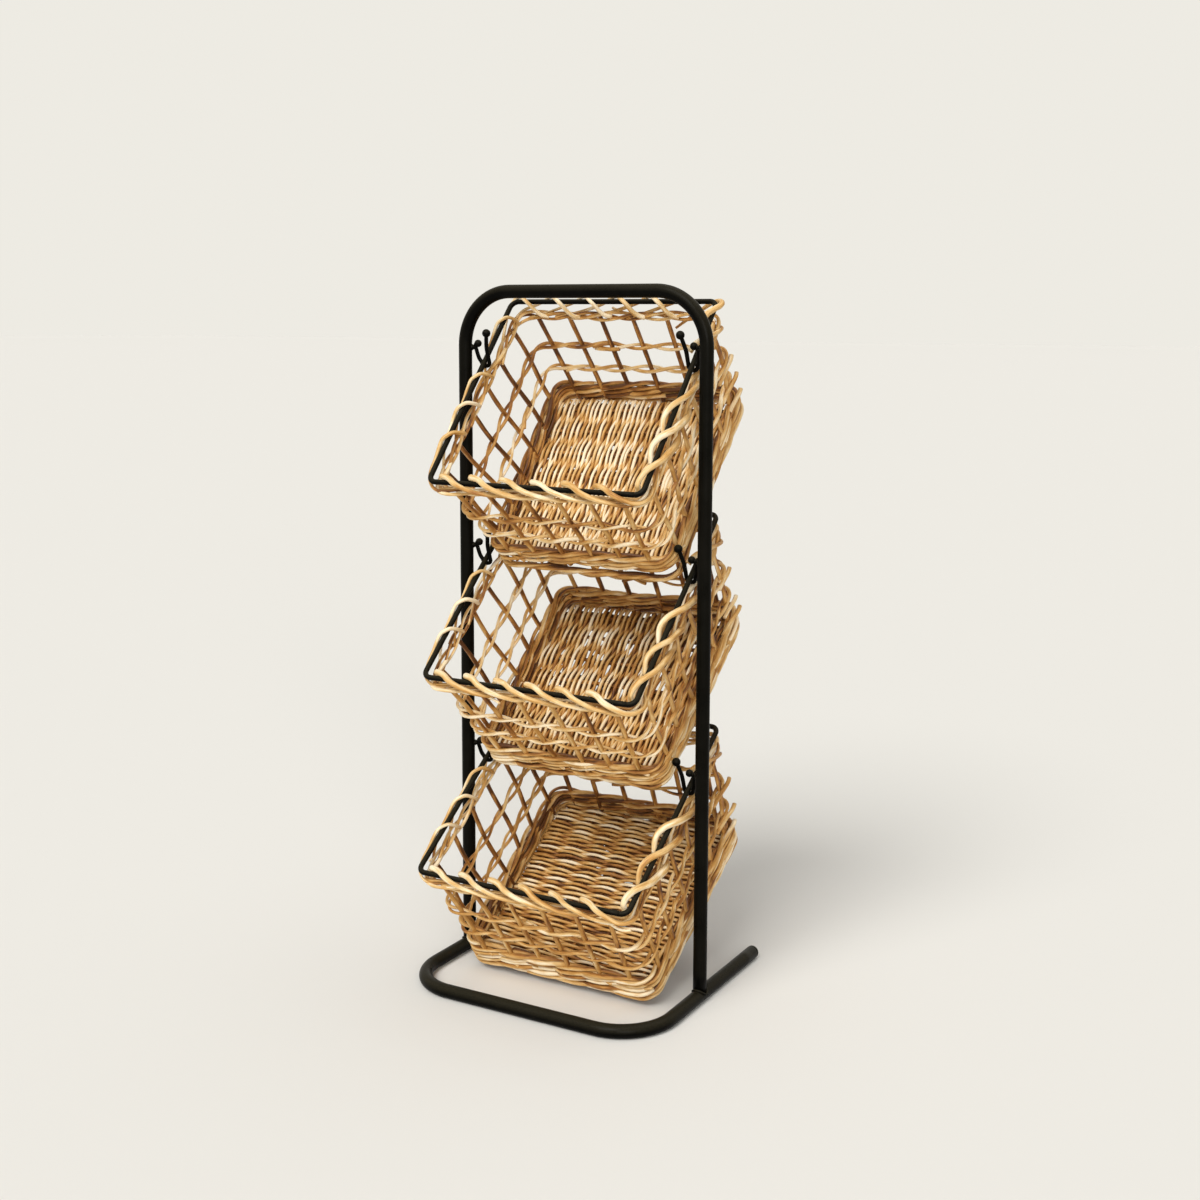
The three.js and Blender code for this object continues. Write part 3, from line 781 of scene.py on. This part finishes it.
def makeCourse(tray, wale, bundle, draw, drop, shift, swing, sag=0.0):
    overlap, overlapSpread = wale["overlap"]
    for rod in range(wale["rods"]):
        start = draw.random() * 4
        for _ in range(wale["runs"]):
            length = 4 / wale["runs"] + overlap + overlapSpread * draw.random()
            count = int(length * wale["sideRun"] / wale["step"])
            p = np.linspace(start, start + length, count)
            turn = 2 * math.pi / wale["rods"] * (stakeCount(tray, p) + rod)
            out, drops = swung(draw, p, turn, drop, shift, swing, wale["wander"])
            tuck = wale["tuck"] * tuckedEnds(count, wale["tuckSteps"]) ** 2
            lowest = wale["foot"][0] + wale["footLimit"]
            line = wallPoints(tray, p, np.minimum(drops, lowest), out - tuck)
            line[:, 2] -= sag * np.clip((wale["sagStart"] - line[:, 1]) / wale["sagLength"], 0, 1)
            tone = drawn(draw, *wale["tones"]) - wale["dipShade"] * (1 - np.cos(turn)) / 2
            size = wale["cane"] * drawn(draw, *wale["sizes"])
            addStrand(bundle, toWorld(tray, line), size, tone, hint=tray["up"],
                      rough=0.08, taper=wale["taper"], shade=(wale["dipShade"], 0))
            start += 4 / wale["runs"]


def makeWale(tray, wale, seed):
    bundle = newBundle(wale["sides"], seed, tray["tone"])
    draw = random.Random(seed + 11)
    foot = wale["foot"][0]
    for course in wale["courses"]:
        makeCourse(tray, wale, bundle, draw, *course, wale["swing"])
    sag = wale["footSag"]
    if tray["tier"] not in wale["openFoot"]:
        makeCourse(tray, wale, bundle, draw, *wale["fillCourse"], wale["swing"])
        sag = wale["filledSag"]
    makeCourse(tray, wale, bundle, draw, *wale["foot"], wale["footSwing"], sag)
    rod = wale["sideRod"]
    for middle in rod["middles"]:
        p = np.linspace(middle - rod["span"][0], middle + rod["span"][1], rod["points"])
        line = wallPoints(tray, p, foot - rod["rise"], rod["out"] + wobble(draw, p, rod["wander"]))
        addStrand(bundle, toWorld(tray, line), rod["size"], rod["tone"], taper=rod["taper"])
    loose = wale["loose"]
    run = np.linspace(0, 1, loose["points"])
    for _ in range(loose["count"]):
        p = draw.random() * 4
        drop = foot - draw.random() * loose["spread"]
        out = loose["out"][0] + loose["out"][1] * run ** 1.3
        drops = drop - run * drawn(draw, *loose["climb"])
        line = wallPoints(tray, p + run * loose["length"], drops, out)
        tone = drawn(draw, *loose["tones"])
        addStrand(bundle, toWorld(tray, line), wale["cane"] * loose["size"], tone, taper=loose["taper"])
    trayPiece(tray, "wale", bundle, wallCane, ["base_wale"])


# border: stake tips go over the rim wire from inside, then down the outside and into a twisted band
borderShape = {
    "tips": (0.0053, 0.0070, 0.0042, 0.0037),  # front, right, back, left
    "tipSizes": (0.9, 0.22),
    "tipTones": (0.56, 0.40),
    "tipStretch": (0.92, 0.16),
    "tipLoose": 0.0012,
    "frontLead": (0.008, 0.0035),  # front tips start this far back, and more at each stake
    "tapers": ((1.0, 0.5), (0.66, 0.95), (1.0, 0.6), (1.0, 0.6)),
    "slimTip": 0.0018,  # under the tray above
    "slimBacks": ("middle", "bottom"),
    "tailShade": 0.42,  # painted shade: a tip is darker where it lies in the band
    "sides": 8,
    "step": 0.0016,
    "band": {
        "strands": 3, "runs": 2, "step": 0.0024,
        "length": 2.12,  # of a run, in sides
        "cane": 0.0030, "sizes": (0.84, 0.25), "tones": (0.40, 0.70), "flankShade": 0.42,
        "drop": (0.0135, 0.0022),  # middle, and how much higher it lies in front than behind
        "swing": (0.0028, 0.0027), "wander": (0.0004, 0.0006), "stakesPerTurn": 2.5,
    },
    "loose": {
        "count": 6, "points": 9, "size": 0.92, "tones": (0.55, 0.35), "taper": (1.0, 0.85),
        "inward": 0.6,  # share of them
        "start": 0.001, "away": (0.005, 0.004), "drop": 0.002, "climb": (-0.3, 0.9, 0.010),
        "length": (0.09, 0.05),  # in sides
    },
    # along the wall, up from the rim plane, share of the band's drop, out from the wall line
    "frontRoute": [
        (0.001, 0.0022, 0, -0.0048), (0.006, 0.004, 0, -0.0034), (0.013, 0.005, 0, -0.0008),
        (0.02, 0.0036, 0, 0.0032), (0.028, 0.0003, 0, 0.005),
        (0.037, 0, 0.36, 0.0053), (0.046, 0, 0.66, 0.0049), (0.056, 0, 0.88, 0.0038),
        (0.068, 0, 0.98, 0.0006), (0.078, 0, 1, -0.0028), (0.088, 0, 1.06, -0.0042),
    ],
    # on the right a tip comes up from under the wire inside, and crosses it in a slant
    "rightRoute": [
        (-0.021, 0, 0.34, -0.0046), (-0.014, 0.0004, 0, -0.0062), (-0.007, 0.0036, 0, -0.0054),
        (0.0005, 0.0053, 0, -0.0014), (0.007, 0.0044, 0, 0.0032), (0.014, 0.0008, 0, 0.0058),
        (0.022, 0, 0.28, 0.0063),
        (0.032, 0, 0.68, 0.006), (0.044, 0, 1.15, 0.0048), (0.054, 0, 1.45, 0.0012),
        (0.062, 0, 1.65, -0.0028),
    ],
    "backRoute": [
        (-0.012, 0, 1, -0.002), (-0.008, 0, 0.75, -0.0042), (-0.004, 0, 0.35, -0.0052),
        (0, 0.0022, 0, -0.0042), (0.004, 0.0046, 0, -0.0014), (0.009, 0.0042, 0, 0.0022),
        (0.015, 0.001, 0, 0.0044), (0.024, 0, 0.3, 0.005), (0.036, 0, 0.6, 0.0046),
        (0.05, 0, 0.88, 0.0036), (0.064, 0, 0.98, 0.0006), (0.076, 0, 1.02, -0.0028),
    ],
    # on the left a slim tip arches steeply over the wire, then runs close beside it
    "leftRoute": [
        (-0.009, 0, 1, -0.0026), (-0.006, 0, 0.6, -0.005), (-0.002, 0, 0.16, -0.0056),
        (0.002, 0.003, 0, -0.004), (0.006, 0.0044, 0, -0.001), (0.01, 0.0038, 0, 0.0022),
        (0.016, 0.0012, 0, 0.0041), (0.026, 0, 0.06, 0.0043), (0.038, 0, 0.16, 0.0043),
        (0.048, 0, 0.36, 0.0042), (0.058, 0, 0.66, 0.0036), (0.068, 0, 0.92, 0.0012),
        (0.078, 0, 1.02, -0.0024),
    ],
    # a tip beside a hook or a corner stays below the wire
    "lowRoute": [
        (-0.01, 0, 1, -0.002), (0.002, 0, 0.85, -0.0034), (0.014, 0, 0.8, -0.0008),
        (0.026, 0, 0.8, 0.0034), (0.04, 0, 0.85, 0.0044), (0.056, 0, 0.95, 0.0026),
        (0.07, 0, 1.02, -0.0022), (0.08, 0, 1.06, -0.004),
    ],
    "shortStakes": (10, 11),  # behind the right hook, so these start at the wire
    "shortStart": 2,
    "shortTaper": (0.80, 0.30),
    "lowStakes": {"top": (9, 19, 23), "middle": (9, 11, 19, 23), "bottom": (9, 11, 19, 23)},
}


def bandDrop(border, p):
    middle, tilt = border["band"]["drop"]
    return middle - tilt * np.cos((np.asarray(p) - 0.5) * math.pi / 2)


def makeTips(tray, border, bundle, draw):
    side = 2 * tray["rimHalf"]
    routes = [border[word + "Route"] for word in ("front", "right", "back", "left")]
    for index, p in enumerate(stakeParams(tray)):
        turn = int(p)
        slim = tray["tier"] in border["slimBacks"] and turn == 2
        short = index in border["shortStakes"]
        route = routes[turn]
        if index in border["lowStakes"][tray["tier"]]:
            route = border["lowRoute"]
        elif short:
            route = route[border["shortStart"]:]
        taper = border["shortTaper"] if short else border["tapers"][turn]
        thick = border["slimTip"] if slim else border["tips"][turn] * drawn(draw, *border["tipSizes"])
        hug = (tray["rimShown"] + thick) / (tray["rimShown"] + border["tips"][turn])
        stretch = drawn(draw, *border["tipStretch"])
        lead = border["frontLead"][0] + border["frontLead"][1] * index if turn == 0 else 0.0
        points = []
        for along, up, sag, out in route:
            loose = border["tipLoose"] * sag
            place = p + (along * stretch - lead) / side
            drop = sag * float(bandDrop(border, place)) - up * hug
            points.append((place * side, drop + jitter(draw, loose), out * hug + jitter(draw, loose)))
        path = smoothLine(points, border["step"])
        line = wallPoints(tray, path[:, 0] / side, np.maximum(path[:, 1], 0.0), path[:, 2])
        line[:, 2] = -path[:, 1]
        tone = drawn(draw, *border["tipTones"]) - border["tailShade"] * np.linspace(0, 1, len(line)) ** 1.5
        addStrand(bundle, toWorld(tray, line), thick, tone, rough=0.06, taper=taper)


def makeBand(tray, border, bundle, draw):
    band = border["band"]
    count = int(band["length"] * tray["sideRun"] / band["step"])
    for strand in range(band["strands"]):
        start = draw.random() * 4
        for _ in range(band["runs"]):
            p = np.linspace(start, start + band["length"], count)
            twist = stakeCount(tray, p) / band["stakesPerTurn"] + strand / band["strands"]
            turn = 2 * math.pi * twist
            out, drops = swung(draw, p, turn, bandDrop(border, p), 0.0, band["swing"], band["wander"])
            line = wallPoints(tray, p, drops, out)
            size = band["cane"] * drawn(draw, *band["sizes"])
            tone = drawn(draw, *band["tones"])
            addStrand(bundle, toWorld(tray, line), size, tone, hint=tray["up"],
                      rough=0.07, shade=(band["flankShade"], 0))
            start += 4 / band["runs"]


def makeLooseTips(tray, border, bundle, draw):
    loose = border["loose"]
    run = np.linspace(0, 1, loose["points"])
    climbLow, climbSpread, climb = loose["climb"]
    for index in range(loose["count"]):
        place = 4 * (index + draw.random()) / loose["count"]
        side = -1 if draw.random() < loose["inward"] else 1
        out = side * (loose["start"] + drawn(draw, *loose["away"]) * run ** 1.4)
        rise = (draw.random() * climbSpread + climbLow) * climb * run
        drops = bandDrop(border, place) + loose["drop"] - rise
        line = wallPoints(tray, place + drawn(draw, *loose["length"]) * run, drops, out)
        tone = drawn(draw, *loose["tones"])
        size = border["band"]["cane"] * loose["size"]
        addStrand(bundle, toWorld(tray, line), size, tone, taper=loose["taper"])


def makeBorder(tray, border, seed):
    bundle = newBundle(border["sides"], seed, tray["tone"])
    draw = random.Random(seed + 17)
    makeTips(tray, border, bundle, draw)
    makeBand(tray, border, bundle, draw)
    makeLooseTips(tray, border, bundle, draw)
    trayPiece(tray, "border", bundle, wallCane, ["border_band"])


# woven base: slim weavers over and under a few crossing sticks
matShape = {
    "drop": 0.1115,
    "across": {"top": False, "middle": False, "bottom": True},  # which way the weavers run
    # painted shade: the mats of the lower trays, under the trays above, are darker
    "tones": {"top": 0.09, "middle": -0.01, "bottom": -0.07},
    "pitch": {"top": 0.0024, "middle": 0.0027, "bottom": 0.0026},
    "holes": {"top": 0.10, "middle": 0.60, "bottom": 0.12},  # share of the dark gap-shade canes with a gap
    "corner": 0.011,
    "edge": 0.0022,
    "sides": 7,
    "step": 0.0026,
    "liftSpread": 0.0004,
    "stick": {
        "size": 0.0040, "pitch": 0.0245, "short": 0.002, "points": 50, "waves": 12, "wander": 0.0005,
        # painted shade: the sticks have a dark tone, as shade in the slits where they show
        "tones": (0.02, 0.12), "flat": 0.7,
    },
    "weaver": {
        "size": 0.0029, "sizes": (0.86, 0.28), "tones": (0.50, 0.72), "short": 0.001,
        "lift": 0.0024, "lifts": (0.85, 0.3),
        "turn": (18, 0.22, 0.5), "swing": (14, 0.0004, 0.0006),  # waves per metre, wander, spread
        "dipShade": 0.55,  # painted shade: darker where a weaver goes under
        "flankShade": 0.16,  # and painted shade at its sides
    },
    # painted shade: dark canes between the layers, which darken the gaps seen through the weave
    "gapShadeCane": {
        "size": 0.0028, "drop": 0.0016, "flat": 0.6, "tone": 0.10,
        "cut": (0.3, 0.45), "stride": 3, "hole": 8,
    },
}


def matReach(half, other, corner, offset):
    over = max(abs(offset) - (other - corner), 0.0)
    return half - corner + math.sqrt(max(corner ** 2 - over ** 2, 0.0))


def makeMat(tray, mat, seed):
    bundle = newBundle(mat["sides"], seed, mat["tones"][tray["tier"]])
    draw = random.Random(seed + 23)
    halfX = tray["baseHalf"] - mat["edge"]
    halfY = tray["rimLength"] / 2 - tray["baseTaper"] - mat["edge"]
    across = mat["across"][tray["tier"]]
    runHalf, rowHalf = (halfX, halfY) if across else (halfY, halfX)
    middle = np.array([0.0, -tray["baseForward"], -mat["drop"]])

    def lay(along, aside, up):
        along, aside, up = np.broadcast_arrays(along, aside, up)
        flat = (along, aside) if across else (aside, along)
        return np.stack([*flat, up], -1) + middle

    stick, weaver, gapShadeCane = mat["stick"], mat["weaver"], mat["gapShadeCane"]
    sticks = round(2 * runHalf / stick["pitch"])
    stickGap = 2 * runHalf / sticks
    for i in range(sticks):
        along = -runHalf + (i + 0.5) * stickGap
        reach = matReach(rowHalf, runHalf, mat["corner"], along) - stick["short"]
        aside = np.linspace(-reach, reach, stick["points"])
        bowed = along + wobble(draw, aside * stick["waves"], stick["wander"])
        line = lay(bowed, aside, jitter(draw, mat["liftSpread"]))
        tone = drawn(draw, *stick["tones"])
        addStrand(bundle, toWorld(tray, line), stick["size"], tone, hint=tray["up"], flat=stick["flat"])
    rows = round(2 * rowHalf / mat["pitch"][tray["tier"]])
    rowGap = 2 * rowHalf / rows
    turnWaves, turnWander, turnSpread = weaver["turn"]
    swingWaves, swingWander, swingSpread = weaver["swing"]
    for i in range(rows):
        aside = -rowHalf + (i + 0.5) * rowGap
        reach = matReach(runHalf, rowHalf, mat["corner"], aside) - weaver["short"]
        along = np.linspace(-reach, reach, int(2 * reach / mat["step"]))
        turn = math.pi * ((along + runHalf) / stickGap - 0.5) + math.pi * i
        turn = turn + wobble(draw, along * turnWaves, turnWander) + jitter(draw, turnSpread)
        swing = wobble(draw, along * swingWaves, swingWander) + jitter(draw, swingSpread)
        up = weaver["lift"] * np.cos(turn) * drawn(draw, *weaver["lifts"]) + jitter(draw, mat["liftSpread"])
        size = weaver["size"] * drawn(draw, *weaver["sizes"])
        tone = drawn(draw, *weaver["tones"]) - weaver["dipShade"] * (1 - np.cos(turn)) / 2
        line = lay(along, aside + swing, up)
        addStrand(bundle, toWorld(tray, line), size, tone, hint=tray["up"], rough=0.07,
                  shade=(0, weaver["flankShade"]))
        # painted shade: a dark cane under each weaver darkens its gaps
        low = lay(along, aside, -gapShadeCane["drop"])
        cut = int(len(low) * drawn(draw, *gapShadeCane["cut"]))
        hole = gapShadeCane["hole"] if draw.random() < mat["holes"][tray["tier"]] else 0
        for part in (low[:cut + 1:gapShadeCane["stride"]], low[cut + hole::gapShadeCane["stride"]]):
            tone = draw.random() * gapShadeCane["tone"]
            addStrand(bundle, toWorld(tray, part), gapShadeCane["size"], tone, hint=tray["up"], flat=gapShadeCane["flat"])
    trayPiece(tray, "woven_mat", bundle, matCane, ["base_mat"])


def makeRim(tray):
    corner, steps = tray["rimCorner"], tray["rimSteps"]
    halfX, halfY = tray["rimHalf"], tray["rimLength"] / 2
    line = []
    for turnX, turnY, start in ((1, -1, -90), (1, 1, 0), (-1, 1, 90), (-1, -1, 180)):
        for i in range(steps + 1):
            angle = math.radians(start + 90 * i / steps)
            x = turnX * (halfX - corner) + corner * math.cos(angle)
            y = turnY * (halfY - corner) + corner * math.sin(angle)
            line.append(np.array((x, y, 0.0)))
    line.append(line[0])
    full = []
    for a, b in zip(line[:-1], line[1:]):
        parts = max(1, int(math.dist(a, b) / tray["rimStraight"]))
        full += [a + (b - a) * i / parts for i in range(parts)]
    full.append(line[0])
    nodes = [tray["tier"] + "_rim_wire"]
    tubePiece(tray["tier"] + "_rim", toWorld(tray, full), tray["rimShown"], tray["body"], nodes,
              tray["rimSides"], tray["up"])


for number, tier in enumerate(tiers):
    tray = trayFrame(tier, trayShape)
    seed = 100 * (number + 1)
    makeRim(tray)
    makeLattice(tray, latticeShape, seed + 1)
    makeWale(tray, waleShape, seed + 2)
    makeBorder(tray, borderShape, seed + 3)
    makeMat(tray, matShape, seed + 4)
    print(tier, "tray woven")


# pale floor that runs out to a background of the same tone, and soft light from large lamps
stageLook = {
    "shown": (0.852, 0.830, 0.768),
    "floor": (0.799, 0.776, 0.719),
    "light": 0.18,
    "reach": 60.0,
}


def makeFloor(look):
    reach = look["reach"]
    mesh = bpy.data.meshes.new("studioFloor")
    corners = [(-reach, -reach, 0), (reach, -reach, 0), (reach, reach, 0), (-reach, reach, 0)]
    mesh.from_pydata(corners, [], [(0, 1, 2, 3)])
    floor = bpy.data.objects.new("studioFloor", mesh)
    scene.collection.objects.link(floor)
    material, _, shader = newMaterial("paleFloor")
    shader.inputs["Base Color"].default_value = (*look["floor"], 1)
    shader.inputs["Roughness"].default_value = 1.0
    shader.inputs["Specular IOR Level"].default_value = 0.0
    mesh.materials.append(material)


def makeWorld(look):
    world = bpy.data.worlds.new("softWorld")
    world.use_nodes = True
    tree = world.node_tree
    shown = tree.nodes["Background"]
    shown.inputs["Color"].default_value = (*look["shown"], 1)
    values = {"Color": (1.0, 1.0, 1.0, 1), "Strength": look["light"]}
    lit = addNode(tree, "Background", "Background", {}, values)
    rays = tree.nodes.new("ShaderNodeLightPath")
    seen = rays.outputs["Is Camera Ray"]
    for ray in ("Is Glossy Ray", "Is Transmission Ray"):
        seen = mathNode(tree, "MAXIMUM", seen, rays.outputs[ray])
    mix = addNode(tree, "MixShader", "Shader", {0: seen, 1: lit, 2: shown.outputs[0]}, {})
    tree.links.new(mix, tree.nodes["World Output"].inputs["Surface"])
    scene.world = world


studioLamps = {
    "key": {"from": (-0.05, -1.0, 1.10), "softness": 34, "power": 2.20},
    "fill": {"from": (0.95, -1.2, 0.50), "softness": 28, "power": 1.12},
    "front": {"from": (0.2, -1.0, 0.10), "softness": 70, "power": 0.40},
    "above": {"from": (0.1, 0.25, 1.0), "softness": 60, "power": 0.78},
}


def makeLamps(lamps):
    for name, lamp in lamps.items():
        data = bpy.data.lights.new(name + "Lamp", "SUN")
        data.angle = math.radians(lamp["softness"])
        data.energy = lamp["power"]
        lampObject = bpy.data.objects.new(name + "Lamp", data)
        lampObject.location = lamp["from"]
        lampObject.rotation_euler = Vector(lamp["from"]).to_track_quat("Z", "Y").to_euler()
        scene.collection.objects.link(lampObject)


makeFloor(stageLook)
makeWorld(stageLook)
makeLamps(studioLamps)
scene.view_settings.view_transform = "Standard"
print("stage and lamps set")
